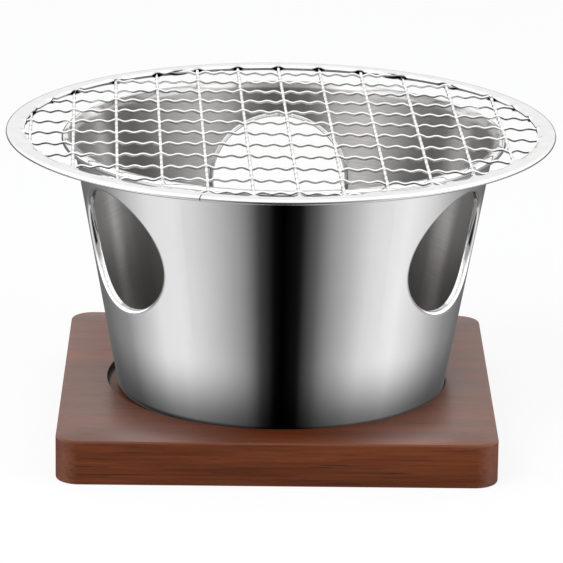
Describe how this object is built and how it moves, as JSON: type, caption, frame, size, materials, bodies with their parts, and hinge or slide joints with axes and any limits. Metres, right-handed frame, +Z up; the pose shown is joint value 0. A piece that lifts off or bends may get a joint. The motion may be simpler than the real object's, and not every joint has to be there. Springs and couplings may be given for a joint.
{
  "type": "tabletop grill",
  "caption": "One-person table grill: a conical steel stove with oval windows in a square wooden base, a spirit burner inside and a round woven wire net on top.",
  "frame": {"origin": "middle of the underside of the wooden base, on the table", "axes": "+Z up out of the table, -Y towards the front of the picture, +X to its right"},
  "size_m": [0.21, 0.21, 0.1176],
  "materials": {
    "base_wood": "satin, reddish brown stain",
    "stove_steel": "mirror-polished outside, brushed inside",
    "burner_steel": "satin",
    "fitting_steel": "bright",
    "pad_fibre": "matt mineral fibre",
    "net_steel": "bright"
  },
  "bodies": {
    "base": {"wooden_base": "base_wood"},
    "stove": {"stove_body": "stove_steel"},
    "burner": {"burner_cup": "burner_steel", "fuel_pad": "pad_fibre", "burner_cover": "burner_steel", "snuffer_rivet": "fitting_steel"},
    "snuffer": {"snuffer_lid": "burner_steel", "snuffer_handle": "burner_steel"},
    "net": {"net_rim": "net_steel", "long_wire_01": "net_steel", "long_wire_02": "net_steel", "long_wire_03": "net_steel", "long_wire_04": "net_steel", "long_wire_05": "net_steel", "long_wire_06": "net_steel", "long_wire_07": "net_steel", "long_wire_08": "net_steel", "long_wire_09": "net_steel", "long_wire_10": "net_steel", "long_wire_11": "net_steel", "long_wire_12": "net_steel", "cross_wire_01": "net_steel", "cross_wire_02": "net_steel", "cross_wire_03": "net_steel", "cross_wire_04": "net_steel", "cross_wire_05": "net_steel", "cross_wire_06": "net_steel", "cross_wire_07": "net_steel", "cross_wire_08": "net_steel", "cross_wire_09": "net_steel", "cross_wire_10": "net_steel", "cross_wire_11": "net_steel", "cross_wire_12": "net_steel"}
  },
  "joints": [
    {"name": "stove_lift", "type": "slide", "parent": "base", "child": "stove", "axis": [0, 0, 1], "range_m": [0, 0.04]},
    {"name": "net_lift", "type": "slide", "parent": "stove", "child": "net", "axis": [0, 0, 1], "range_m": [0, 0.08]},
    {"name": "burner_lift", "type": "slide", "parent": "stove", "child": "burner", "axis": [0, 0, 1], "range_m": [0, 0.04]},
    {"name": "snuffer_swing", "type": "hinge", "parent": "burner", "child": "snuffer", "pos_m": [0.0017, 0.0273, 0.0565], "axis": [0, 0, 1], "range_deg": [0, 90]}
  ]
}
